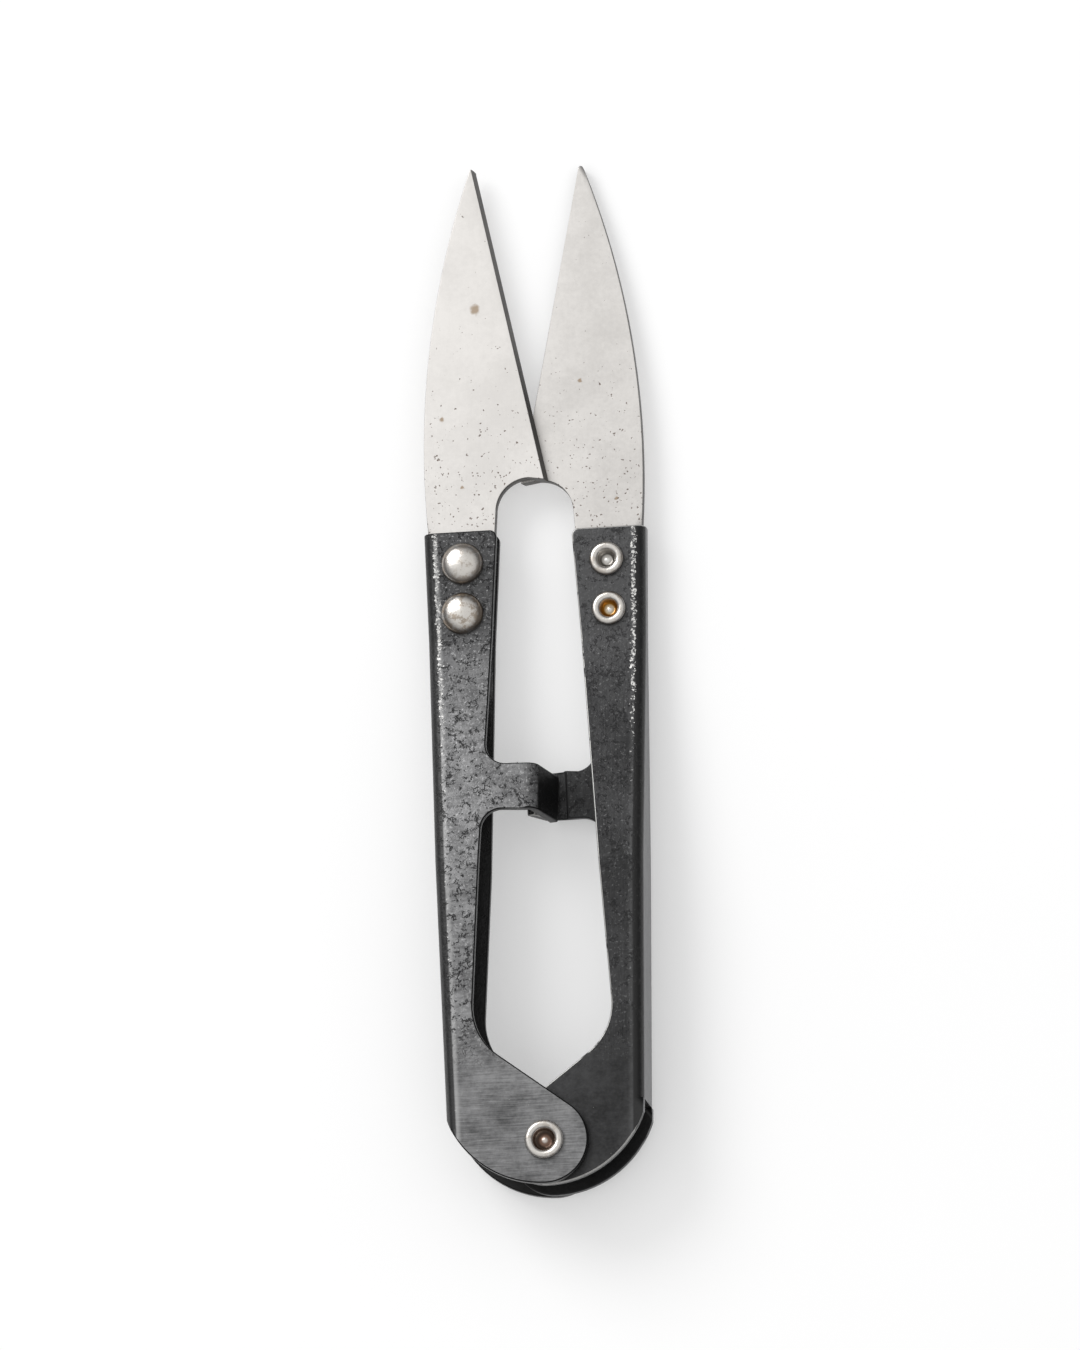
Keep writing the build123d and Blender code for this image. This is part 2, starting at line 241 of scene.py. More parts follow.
def coated_steel(name, dark, light, collar, wall, crackle_strength, ear_lines, side_lines,
                 border_highlight, chips_behind, glint_share):
    """Lacquered sheet: two greys, grinding lines, crackle, black folds, bright chips; painted shade on the
    left collar and the insides, a painted highlight by the folds, painted glints, painted reflection on the
    walls.
    """
    material, tree, mm = new_material(name)
    zones = handle_zones(tree, mm)
    crackle, cell = crackle_lines(tree, mm, zones)
    crackle = maths(tree, "MULTIPLY", crackle, crackle_strength)

    cloud = add(tree, "ShaderNodeTexNoise", {"Vector": mm, "Scale": 1 / 5, "Detail": 5.0, "Roughness": 0.65})
    peel = add(tree, "ShaderNodeTexNoise", {"Vector": mm, "Scale": 1 / 0.4, "Detail": 4.0, "Roughness": 0.7})
    on_ear = add(tree, "ShaderNodeTexNoise", {
        "Vector": stretched(tree, mm, *ear_lines), "Scale": 1.0, "Detail": 3.0, "Roughness": 0.7,
    })
    on_side = add(tree, "ShaderNodeTexNoise", {
        "Vector": stretched(tree, mm, *side_lines), "Scale": 1.0, "Detail": 3.0, "Roughness": 0.7,
    })
    streak = add(tree, "ShaderNodeMix", {
        0: zones["ear"], 2: on_side.outputs["Fac"], 3: on_ear.outputs["Fac"],
    }, data_type="FLOAT").outputs[0]

    speck = add(tree, "ShaderNodeTexNoise", {
        "Vector": mm, "Scale": 1 / 0.28, "Detail": 3.0, "Roughness": 0.7,
    })
    reach = maths(tree, "ADD", maths(tree, "MULTIPLY", zones["front"], 1.0 - chips_behind), chips_behind)
    rubbed = maths(tree, "MULTIPLY", maths(tree, "MULTIPLY", zones["border"], reach), 0.24)
    chip = ramp(tree, maths(tree, "ADD", speck.outputs["Fac"], rubbed), 0.73, 0.79)
    fleck = maths(tree, "MULTIPLY", ramp(tree, speck.outputs["Fac"], 0.57, 0.66),
                  maths(tree, "SUBTRACT", 1.0, zones["ear"]))

    tone = maths(tree, "ADD", maths(tree, "MULTIPLY", cloud.outputs["Fac"], 0.75),
                 maths(tree, "MULTIPLY", streak, 0.5))
    tone = maths(tree, "ADD", tone, maths(tree, "MULTIPLY", peel.outputs["Fac"], 0.25))
    colour = blend_colour(tree, ramp(tree, tone, 0.45, 1.05), linear(dark), linear(light))
    # Over the collar the colour turns to the collar tone: darker on the left handle, which is painted shade,
    # and lighter on the right one.
    colour = blend_colour(tree, maths(tree, "MULTIPLY", zones["collar"], 0.85), colour, linear(collar))
    # A pale band along each fold, stronger on the left handle, is a painted highlight.
    painted_border_highlight = maths(tree, "MULTIPLY", zones["highlight_border"], border_highlight)
    colour = blend_colour(tree, painted_border_highlight, colour, linear(BORDER_HIGHLIGHT_GREY))
    # Pale flecks on the sides are painted glints.
    colour = blend_colour(tree, maths(tree, "MULTIPLY", fleck, glint_share), colour, linear(GLINT_FLECK_GREY))
    colour = blend_colour(tree, crackle, colour, linear(CRACK_BLACK))
    # The side walls take a flat grey, lighter on the right handle, which is painted reflection.
    colour = blend_colour(tree, maths(tree, "MULTIPLY", zones["wall"], 0.9), colour, linear(wall))
    # Black along the folds; the inner and side faces go black as painted shade.
    black = maths(tree, "MAXIMUM", zones["fold"], zones["inside"])
    colour = blend_colour(tree, maths(tree, "MULTIPLY", black, 0.96), colour, linear(LACQUER_AND_SHADE_BLACK))
    chip = maths(tree, "MULTIPLY", chip, maths(tree, "SUBTRACT", 1.0, zones["inside"]))
    colour = blend_colour(tree, chip, colour, linear(CHIP_BRIGHT))

    rough = add(tree, "ShaderNodeMapRange", {
        "Value": streak, "To Min": 0.32, "To Max": 0.50,
    }).outputs["Result"]
    metal = maths(tree, "SUBTRACT", 0.6, maths(tree, "MULTIPLY", black, 0.6))
    metal = maths(tree, "ADD", metal, maths(tree, "MULTIPLY", chip, 0.4))
    lip = ramp(tree, cell, 0.34, 0.12)
    height = maths(tree, "ADD", maths(tree, "MULTIPLY", peel.outputs["Fac"], 0.45),
                   maths(tree, "MULTIPLY", streak, 0.35))
    height = maths(tree, "ADD", height, maths(tree, "MULTIPLY", maths(tree, "MULTIPLY", lip, 0.30),
                                              maths(tree, "SUBTRACT", 1.0, zones["ear"])))
    height = maths(tree, "SUBTRACT", height, maths(tree, "MULTIPLY", crackle, 1.1))
    bump = add(tree, "ShaderNodeBump", {"Height": height, "Strength": 0.6, "Distance": 0.05 * MM})
    shader = add(tree, "ShaderNodeBsdfPrincipled", {
        "Base Color": colour, "Roughness": rough, "Metallic": metal, "Normal": bump.outputs[0],
    })
    add(tree, "ShaderNodeOutputMaterial", {"Surface": shader.outputs[0]})
    return material


# The left coat is greyer than the right.
left_coat = coated_steel(
    "greyer_black_lacquer_on_steel", dark="#424243", light="#9a9a9b", collar="#3a3a3b", wall="#5c5c5d",
    crackle_strength=0.92, ear_lines=(3.0, 0.14, 1.0), side_lines=(1.4, 0.5, 1.0), border_highlight=0.55,
    chips_behind=0.35, glint_share=0.55,
)
right_coat = coated_steel(
    "black_lacquer_on_steel", dark="#202021", light="#434344", collar="#505051", wall="#78787a",
    crackle_strength=0.70, ear_lines=(0.7, 0.5, 1.0), side_lines=(0.18, 5.0, 1.0), border_highlight=0.06,
    chips_behind=0.0, glint_share=0.14,
)
print("coats:", left_coat.name, right_coat.name)

# %% [markdown]
# ## Worn edge
# Lacquer is thinnest on a sheared edge, and hands polish it off first. The narrow bevel strip on each
# handle gets a material of its own. The left handle's edges kept their lacquer and read as a black
# line, the right handle's are rubbed to a thin silver one that is partly painted highlight, and both
# have short lengths of the other. The silver is kept to the upper rims, and the lower rims stay dark
# as painted shade.

# %% Worn edge
def edge_wear_and_painted_light(name, dark, bright, share):
    """A rim that is bright steel where slow noise passes the share on its upper side, and lacquer elsewhere;
    the dark lower rims are painted shade.
    """
    material, tree, mm = new_material(name)
    rub = add(tree, "ShaderNodeTexNoise", {"Vector": mm, "Scale": 1 / 3.5, "Detail": 4.0, "Roughness": 0.7})
    height = add(tree, "ShaderNodeSeparateXYZ", {0: mm}).outputs[2]
    # Bright steel only on the upper rims; the lower rims stay dark as painted shade.
    bare = maths(tree, "MULTIPLY", ramp(tree, rub.outputs["Fac"], share, share + 0.08),
                 ramp(tree, height, -1.0, 0.5))
    grain = add(tree, "ShaderNodeTexNoise", {"Vector": mm, "Scale": 1 / 0.15, "Detail": 2.0})
    bump = add(tree, "ShaderNodeBump", {
        "Height": grain.outputs["Fac"], "Strength": 0.4, "Distance": 0.02 * MM,
    })
    shader = add(tree, "ShaderNodeBsdfPrincipled", {
        "Base Color": blend_colour(tree, bare, linear(dark), linear(bright)),
        "Metallic": 0.7, "Roughness": 0.36, "Normal": bump.outputs[0],
    })
    add(tree, "ShaderNodeOutputMaterial", {"Surface": shader.outputs[0]})
    return material


left_edge = edge_wear_and_painted_light("lacquered_rim_left", "#141415", "#8c8b8a", 0.66)
# The right rims' bright steel is partly wear and partly painted highlight.
right_edge = edge_wear_and_painted_light("rubbed_and_highlit_rim_right", "#29292a", "#b2b1af", 0.38)
print("rims:", left_edge.name, right_edge.name)

# %% [markdown]
# ## Ground blade steel
# The blades are stamped from hard strip, ground flat and tumbled, which leaves a pale satin surface
# with grinding lines a few hundredths of a millimetre apart. Those are too fine to show, so the lines
# here are a tenth of a millimetre apart. Damp fingers have left small dark pits and a few brown rust
# specks, thickest near the handle.

# %% Ground steel
RUST_SHIFT_MM = 0.35  # the middle of the noise that ruffles a spot's outline
PIT_MM = 0.42  # between pits
PIT_BROWN = "#5f4f45"
RUST_BROWN = "#92795a"


def ground_steel(name, pale, shade, collar_mm, rust_spots=()):
    """Satin steel with grinding lines and pits; rust_spots are (x, y, radius) in millimetres."""
    material, tree, mm = new_material(name)
    x, y, z = add(tree, "ShaderNodeSeparateXYZ", {0: mm}).outputs
    lines = add(tree, "ShaderNodeTexNoise", {
        "Vector": stretched(tree, mm, 0.10, 3.0, 0.10), "Scale": 1.0, "Detail": 2.0,
    })
    cloud = add(tree, "ShaderNodeTexNoise", {"Vector": mm, "Scale": 1 / 9, "Detail": 5.0, "Roughness": 0.65})
    mottle = add(tree, "ShaderNodeTexNoise", {
        "Vector": mm, "Scale": 1 / 0.5, "Detail": 3.0, "Roughness": 0.7,
    })

    rooted = ramp(tree, y, collar_mm + 26, collar_mm)
    wobble = add(tree, "ShaderNodeTexNoise", {"Vector": mm, "Scale": 1 / 0.6, "Detail": 3.0})
    bent = add(tree, "ShaderNodeVectorMath", {0: wobble.outputs["Color"], "Scale": 0.7}, operation="SCALE")
    shifted = add(tree, "ShaderNodeVectorMath", {0: mm, 1: bent.outputs[0]}, operation="ADD").outputs[0]
    pits = add(tree, "ShaderNodeTexVoronoi", {"Vector": shifted, "Scale": 1 / PIT_MM}, feature="F1")
    chance = add(tree, "ShaderNodeTexNoise", {
        "Vector": mm, "Scale": 1 / 1.5, "Detail": 4.0, "Roughness": 0.8,
    })
    likely = maths(tree, "ADD", chance.outputs["Fac"], maths(tree, "MULTIPLY", rooted, 0.13))
    reach = maths(tree, "MULTIPLY", ramp(tree, likely, 0.50, 0.74), 0.27)
    pit = ramp(tree, maths(tree, "SUBTRACT", pits.outputs["Distance"], reach), 0.05, -0.04)

    rust = 0.0
    for spot_x, spot_y, radius in rust_spots:
        away = add(tree, "ShaderNodeVectorMath", {0: shifted, 1: (1, 1, 0)}, operation="MULTIPLY").outputs[0]
        middle = (spot_x + RUST_SHIFT_MM, spot_y + RUST_SHIFT_MM, 0.0)
        gap = add(tree, "ShaderNodeVectorMath", {0: away, 1: middle}, operation="DISTANCE").outputs["Value"]
        rust = maths(tree, "MAXIMUM", rust, ramp(tree, gap, radius * 1.25, radius * 0.5))

    tone = maths(tree, "ADD", maths(tree, "MULTIPLY", cloud.outputs["Fac"], 0.7),
                 maths(tree, "MULTIPLY", mottle.outputs["Fac"], 0.3))
    colour = blend_colour(tree, ramp(tree, tone, 0.35, 0.65), linear(shade), linear(pale))
    colour = blend_colour(tree, maths(tree, "MULTIPLY", rust, 0.75), colour, linear(RUST_BROWN))
    colour = blend_colour(tree, maths(tree, "MULTIPLY", pit, 0.85), colour, linear(PIT_BROWN))
    rough = add(tree, "ShaderNodeMapRange", {
        "Value": mottle.outputs["Fac"], "To Min": 0.36, "To Max": 0.52,
    }).outputs["Result"]
    height = maths(tree, "SUBTRACT", maths(tree, "MULTIPLY", lines.outputs["Fac"], 0.3),
                   maths(tree, "MULTIPLY", pit, 1.0))
    bump = add(tree, "ShaderNodeBump", {"Height": height, "Strength": 0.35, "Distance": 0.03 * MM})
    shader = add(tree, "ShaderNodeBsdfPrincipled", {
        "Base Color": colour, "Metallic": 0.85, "Roughness": rough, "Normal": bump.outputs[0],
    })
    add(tree, "ShaderNodeOutputMaterial", {"Surface": shader.outputs[0]})
    return material


collar_front_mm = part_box("left_handle")[1][1] / MM
left_steel = ground_steel("ground_steel_left_blade", "#e3e0dd", "#d8d5d2", collar_front_mm,
                          rust_spots=((-5.6, 87.3, 0.55), (-9.2, 75.9, 0.28), (-7.3, 68.6, 0.2)))
right_steel = ground_steel("ground_steel_right_blade", "#dcd9d6", "#ccc9c6", collar_front_mm,
                           rust_spots=((5.0, 79.5, 0.24), (8.4, 67.0, 0.22)))
# Darker steel for the blade walls and cutting edges, which is painted shade.
blade_wall_shade_steel = ground_steel("painted_shade_blade_walls", "#5c5a57", "#434140", collar_front_mm)
print("collar front at y mm:", round(collar_front_mm, 2))

# %% [markdown]
# ## Nickel-plated rivets
# The rivets are turned from soft steel and nickel plated, bright but handled: faint brown tarnish in
# patches, little dents from the riveting press, and rust in the hollow of one of them. Each head is
# painted paler in its middle and duller at its rim, and each hollow bright in its middle and darker in
# a ring round it: painted highlights and painted shade.

# %% Nickel plate
PLATE_PALE = "#e6e2dd"
PLATE_RIM_SHADE = "#9c9893"


def nickel_plate(name, centre, radius, tarnish, hollow_shade_stops, open_side, stain_colour="#978571"):
    """Plated steel, painted paler in the middle and duller towards the rim as painted highlight and shade;
    hollow_shade_stops are (radius mm, colour) of painted light and shade, with rust where there is some,
    inside the hollow.
    """
    material, tree, mm = new_material(name)
    dents = add(tree, "ShaderNodeTexNoise", {"Vector": mm, "Scale": 1 / 0.8, "Detail": 3.0})
    grain = add(tree, "ShaderNodeTexNoise", {"Vector": mm, "Scale": 1 / 0.14, "Detail": 2.0})
    stain = add(tree, "ShaderNodeTexNoise", {
        "Vector": mm, "Scale": 1 / 1.1, "Detail": 5.0, "Roughness": 0.75,
    })
    local = add(tree, "ShaderNodeMapping", {"Vector": mm, "Location": [-c for c in centre]}).outputs[0]
    flat = add(tree, "ShaderNodeVectorMath", {0: local, 1: (1, 1, 0)}, operation="MULTIPLY").outputs[0]
    reach = add(tree, "ShaderNodeVectorMath", {0: flat}, operation="LENGTH").outputs["Value"]
    # Paler in the middle of the head and duller towards its rim: a painted highlight and painted shade.
    rim = ramp(tree, reach, radius * 0.55, radius)
    colour = blend_colour(tree, maths(tree, "MULTIPLY", rim, 0.75), linear(PLATE_PALE), linear(PLATE_RIM_SHADE))
    mottle = maths(tree, "ADD", stain.outputs["Fac"], maths(tree, "MULTIPLY", rim, 0.12))
    colour = blend_colour(tree, maths(tree, "MULTIPLY", ramp(tree, mottle, 0.50, 0.62), tarnish),
                          colour, linear(stain_colour))
    if hollow_shade_stops:
        # Painted light and shade inside the hollow.
        depth = add(tree, "ShaderNodeSeparateXYZ", {0: local}).outputs[2]
        opening = hollow_shade_stops[-1][0]
        inside = maths(tree, "MULTIPLY", ramp(tree, reach, opening, opening * 0.9),
                       ramp(tree, depth, -0.5 * open_side, 0.5 * open_side))
        hollow_light_and_shade = linear(hollow_shade_stops[0][1])
        for (near, _), (far, shade) in zip(hollow_shade_stops, hollow_shade_stops[1:]):
            hollow_light_and_shade = blend_colour(tree, ramp(tree, reach, near, far), hollow_light_and_shade, linear(shade))
        colour = blend_colour(tree, inside, colour, hollow_light_and_shade)
    rough = add(tree, "ShaderNodeMapRange", {
        "Value": stain.outputs["Fac"], "To Min": 0.18, "To Max": 0.42,
    }).outputs["Result"]
    height = maths(tree, "ADD", maths(tree, "MULTIPLY", dents.outputs["Fac"], 1.0),
                   maths(tree, "MULTIPLY", grain.outputs["Fac"], 0.12))
    bump = add(tree, "ShaderNodeBump", {"Height": height, "Strength": 0.55, "Distance": 0.08 * MM})
    shader = add(tree, "ShaderNodeBsdfPrincipled", {
        "Base Color": colour, "Metallic": 1.0, "Roughness": rough, "Normal": bump.outputs[0],
    })
    add(tree, "ShaderNodeOutputMaterial", {"Surface": shader.outputs[0]})
    return material


print("plate fades from", PLATE_PALE, "to", PLATE_RIM_SHADE, "at the rim")

# %% [markdown]
# ## Handles and blades with softened edges
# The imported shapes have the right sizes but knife-sharp corners, and no pressed part has those. A copy
# of each is welded, its flat regions are dissolved back to single faces, and nearly every sharp edge
# gets a small bevel: 0.13 mm on the sheared sheet, less on the ground blades. The bevel takes its own
# material slot, which is where the lacquer wears first. The same could be done with a Bevel modifier,
# but the operator can also leave out chosen edges, and its leftover slivers can be merged, so that
# each mesh stays one closed skin.

# %% Close up after the bevel
SLIVER_MM = 0.004
FIRST_SLIVER_MM = 0.0015
SHORTEST_EDGE_MM = 0.001
NO_AREA = 1e-13  # square metres
SLIVER_ROUNDS = 4


def merge_slivers(bm):
    """Merges points that the bevel left on top of each other, and removes the faces with no area."""
    for reach in (FIRST_SLIVER_MM, SLIVER_MM):
        bmesh.ops.remove_doubles(bm, verts=bm.verts, dist=reach * MM)
        bmesh.ops.dissolve_degenerate(bm, dist=reach * MM, edges=bm.edges)
    for _ in range(SLIVER_ROUNDS):
        bmesh.ops.triangulate(bm, faces=[f for f in bm.faces if len(f.verts) > 4])
        thin = [
            f for f in bm.faces
            if f.calc_area() < NO_AREA
            or min(e.calc_length() for e in f.edges) < SHORTEST_EDGE_MM * MM
        ]
        if not thin:
            break
        bmesh.ops.dissolve_degenerate(bm, dist=SLIVER_MM * MM, edges=list({e for f in thin for e in f.edges}))
    return sum(not e.is_manifold for e in bm.edges)


print("slivers merged below mm:", SLIVER_MM)

# %% [markdown]
# ## Softened copies
# Three places have no room for a bevel, and one there would leave stray points: the ends of each fold,
# the rear corner of each stop tab, and the needle tip of each blade. The rims of the rivet holes are
# left sharp too, because the rivets cover them.

# %% Softened copies
HANDLE_BEVEL_MM = 0.13
BLADE_BEVEL_MM = 0.07
WELD_MM = 0.002
FLAT_ANGLE = math.radians(0.4)
BEVEL_ANGLE = math.radians(28)
SHADING_ANGLE = math.radians(35)


def softened(node, name, width_mm, materials, skip, segments):
    """A welded copy of a CAD node with bevelled edges; the bevel takes the second material."""
    bm = bmesh.new()
    bm.from_mesh(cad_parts[node].data)
    bmesh.ops.remove_doubles(bm, verts=bm.verts, dist=WELD_MM * MM)
    bmesh.ops.dissolve_limit(
        bm, angle_limit=FLAT_ANGLE, verts=bm.verts, edges=bm.edges, delimit=set(),
    )
    sharp = [
        e for e in bm.edges
        if e.is_manifold and e.calc_face_angle() > BEVEL_ANGLE and not skip(e)
    ]
    bmesh.ops.bevel(
        bm, geom=sharp, offset=width_mm * MM, offset_type="OFFSET", affect="EDGES", segments=segments,
        profile=0.5, clamp_overlap=False, loop_slide=True, material=1,
    )
    open_edges = merge_slivers(bm)
    for face in bm.faces:
        face.smooth = True
    mesh = bpy.data.meshes.new(name)
    bm.to_mesh(mesh)
    bm.free()
    for material in materials:
        mesh.materials.append(material)
    mesh.set_sharp_from_angle(angle=SHADING_ANGLE)
    piece = bpy.data.objects.new(name, mesh)
    bpy.context.scene.collection.objects.link(piece)
    shading = piece.modifiers.new("flat faces shade flat", "WEIGHTED_NORMAL")
    shading.keep_sharp = True
    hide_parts(node)
    print(name, "faces", len(mesh.polygons), "bevelled edges", len(sharp), "open edges", open_edges)
    return piece


STOP_CORNER_MM = Vector((2.03, 34.37))
FOLD_END_X_MM = 8.4  # a fold ends further out than this, between the next two values along y
FOLD_END_REAR_MM = 0.9
FOLD_END_FRONT_MM = 4.4
TIGHT_MM = 0.5  # no bevel within this of a stop's corner or a tip
HOLE_REACH_MM = 1.7
TIP_Y_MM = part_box("left_blade")[1][1] / MM


def skip_edge(edge):
    """True where a bevel has no room: rivet holes, the fold's ends, the stop's rear corner, the tip."""
    middle = (edge.verts[0].co + edge.verts[1].co) / 2
    along = FOLD_END_REAR_MM * MM < middle.y < FOLD_END_FRONT_MM * MM
    fold_end = abs(middle.x) > FOLD_END_X_MM * MM and along
    stop_corner = (Vector((abs(middle.x), middle.y)) - STOP_CORNER_MM * MM).length < TIGHT_MM * MM
    tip = middle.y > (TIP_Y_MM - TIGHT_MM) * MM
    hole = any((middle.xy - centre).length < HOLE_REACH_MM * MM for centre in rivet_centres)
    return fold_end or stop_corner or tip or hole


rivet_centres = [
    Vector([sum(pair) / 2 for pair in zip(*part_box(name))]).xy
    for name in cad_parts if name.endswith("rivet")
]
left_handle = softened(
    "left_handle", "left_handle_pressing", HANDLE_BEVEL_MM, [left_coat, left_edge], skip_edge, segments=3,
)
right_handle = softened(
    "right_handle", "right_handle_pressing", HANDLE_BEVEL_MM, [right_coat, right_edge], skip_edge, segments=3,
)
left_blade = softened(
    "left_blade", "left_ground_blade", BLADE_BEVEL_MM, [left_steel, left_steel], skip_edge, segments=2,
)
right_blade = softened(
    "right_blade", "right_ground_blade", BLADE_BEVEL_MM, [right_steel, right_steel], skip_edge, segments=2,
)

# %% [markdown]
# ## Painted shade on the blade walls
# The flat faces are ground bright. The sheared walls and the narrow cutting edges take a darker steel
# as painted shade, which goes into a third slot after the bevel.

# %% Dark walls of the blades
WALL_LIFT = 0.5  # a face whose normal rises less than this is a wall
EDGE_LEAN = 0.75  # a face whose normal points inwards more than this is the cutting edge
WALL_SLOT = 2


def shade_blade_walls(blade, inward):
    """Gives the sheared walls and the ground cutting edge a darker steel as painted shade; inward is +1 or -1
    in x.
    """
    blade.data.materials.append(blade_wall_shade_steel)
    count = 0
    for face in blade.data.polygons:
        wall = abs(face.normal.z) < WALL_LIFT
        cutting_edge = face.normal.x * inward > EDGE_LEAN
        if wall or cutting_edge:
            face.material_index = WALL_SLOT
            count += 1
    print(blade.name, "wall faces", count)


shade_blade_walls(left_blade, 1)
shade_blade_walls(right_blade, -1)
for piece, slot, body in (
    (left_handle, "coated_steel", "left_arm"), (right_handle, "coated_steel", "right_arm"),
    (left_blade, "ground_steel", "left_arm"), (right_blade, "ground_steel", "right_arm"),
):
    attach(piece, body)

# %% [markdown]
# ## Turned rivets
# A semi-tubular rivet is a solid of revolution: domed head, shank, and a drilled end that the press
# rolls outwards. Its half profile is drawn once as a chain of points and spun about its own axis, as
# a lathe would, then moved to its hole. The dome is a quarter of an ellipse standing on a small lip,
# and the hollow is a shallow cup, which is what is left of the drilling once the end is rolled out.

# %% Turn a rivet
RIVET_STEPS = 72
DOME_STEPS = 8
LIP_MM = 0.14
HEAD_EDGE_MM = 0.05
HEAD_UNDERCUT_MM = 0.06
ROLL_STEPS = 8
ROLL_START = 45  # degrees, where the rolled end leaves the shank
ROLL_SWEEP = 225
CUP = ((0.96, 0.10), (0.80, 0.42), (0.45, 0.52), (0.25, 0.44), (0.0, 0.40))  # share of the hollow, depth mm


def turn_rivet(node, name, head, dome, rim, roll, shank, hollow, material, head_up=True):
    """Spins a rivet to the same size and place as its CAD node."""
    low, high = (Vector(corner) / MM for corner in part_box(node))
    centre = (low + high) / 2
    seat = high.z - dome if head_up else low.z + dome
    grip = (high.z - low.z) - dome - roll
    points = [(0.0, dome)]
    for step in range(1, DOME_STEPS + 1):
        angle = math.radians(step * 90 / DOME_STEPS)
        points.append((head * math.sin(angle), LIP_MM + (dome - LIP_MM) * math.cos(angle)))
    points += [(head, HEAD_EDGE_MM), (head - HEAD_UNDERCUT_MM, 0.0), (shank, 0.0), (shank, -grip)]
    ring = (rim - hollow) / 2
    for step in range(ROLL_STEPS + 1):
        angle = math.radians(ROLL_START - step * ROLL_SWEEP / ROLL_STEPS)
        height = -grip - roll * 0.5 + roll * 0.5 * math.sin(angle)
        points.append((rim - ring + ring * math.cos(angle), height))
    points += [(hollow * share, -grip + depth) for share, depth in CUP]
    bm = bmesh.new()
    turn = 1 if head_up else -1
    chain = [bm.verts.new((r * MM, 0.0, turn * z * MM)) for r, z in points]
    for a, b in zip(chain, chain[1:]):
        bm.edges.new((a, b))
    bmesh.ops.spin(
        bm, geom=bm.verts[:] + bm.edges[:], cent=(0, 0, 0), axis=(0, 0, 1), angle=math.tau,
        steps=RIVET_STEPS, use_merge=True,
    )
    bmesh.ops.remove_doubles(bm, verts=bm.verts, dist=SHORTEST_EDGE_MM * MM)
    bmesh.ops.recalc_face_normals(bm, faces=bm.faces)
    bmesh.ops.translate(bm, verts=bm.verts, vec=Vector((centre.x, centre.y, seat)) * MM)
    for face in bm.faces:
        face.smooth = True
    mesh = bpy.data.meshes.new(name)
    bm.to_mesh(mesh)
    bm.free()
    mesh.materials.append(material)
    mesh.set_sharp_from_angle(angle=math.radians(50))
    piece = bpy.data.objects.new(name, mesh)
    bpy.context.scene.collection.objects.link(piece)
    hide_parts(node)
    print(name, "faces", len(mesh.polygons))
    return piece


def rivet_place(node):
    """The middle of a rivet's box, in millimetres."""
    low, high = (Vector(corner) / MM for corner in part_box(node))
    return (low + high) / 2


BLADE_RIVET = dict(head=2.15, dome=1.1, rim=1.75, roll=0.55, shank=1.25, hollow=0.9)
PIVOT_RIVET = dict(head=2.65, dome=1.36, rim=1.97, roll=0.52, shank=1.5, hollow=1.12)
# Each hollow is painted bright in its middle and darker in a ring round it, a painted highlight and painted
# shade; the rusty one adds rust browns, and the pivot's ring is brown.
CLEAN_HOLLOW_SHADING = ((0.15, "#f2f0ed"), (0.42, "#b9b5b0"), (0.62, "#6d6964"), (0.95, "#c9c5c0"))
RUSTY_HOLLOW_SHADING = ((0.15, "#f0ece6"), (0.40, "#b9a88c"), (0.60, "#9a6a26"), (0.95, "#b98d48"))
PIVOT_HOLLOW = ((0.12, "#d6cdc6"), (0.40, "#7d6457"), (0.70, "#4a3b33"), (1.15, "#9b8f84"))
for node, up, tarnish, hollow in (
    ("left_front_rivet", True, 0.45, CLEAN_HOLLOW_SHADING), ("left_rear_rivet", True, 0.7, CLEAN_HOLLOW_SHADING),
    ("right_front_rivet", False, 0.35, CLEAN_HOLLOW_SHADING), ("right_rear_rivet", False, 0.6, RUSTY_HOLLOW_SHADING),
):
    plate = nickel_plate("nickel_plate_" + node, rivet_place(node), BLADE_RIVET["head"], tarnish,
                         hollow, -1 if up else 1)
    rivet = turn_rivet(node, node + "_turned", material=plate, head_up=up, **BLADE_RIVET)
    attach(rivet, node.split("_")[0] + "_arm")
pivot_plate = nickel_plate("nickel_plate_pivot", rivet_place("pivot_rivet"), PIVOT_RIVET["head"], 0.4,
                           PIVOT_HOLLOW, 1)
pivot = turn_rivet("pivot_rivet", "pivot_rivet_turned", material=pivot_plate, head_up=False, **PIVOT_RIVET)
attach(pivot, "left_arm")

# %% [markdown]
# ## Torsion spring
# The spring is hard wire wound three and a bit turns round the pivot rivet, with one straight leg
# running forward inside each handle. A ring of wire is spun round the axis with a small rise at each
# step, much as a coiling machine feeds it, and the two end rings are drawn out into legs.

# %% Wind the spring
WIRE_MM = 0.45  # radius
COIL_MM = 2.45  # radius to the middle of the wire
SPRING_RISE_MM = 4.2
LEG_END = Vector((-8.93, 14.0))
FULL_TURNS = 3
COIL_STEPS = 150
WIRE_SIDES = 16


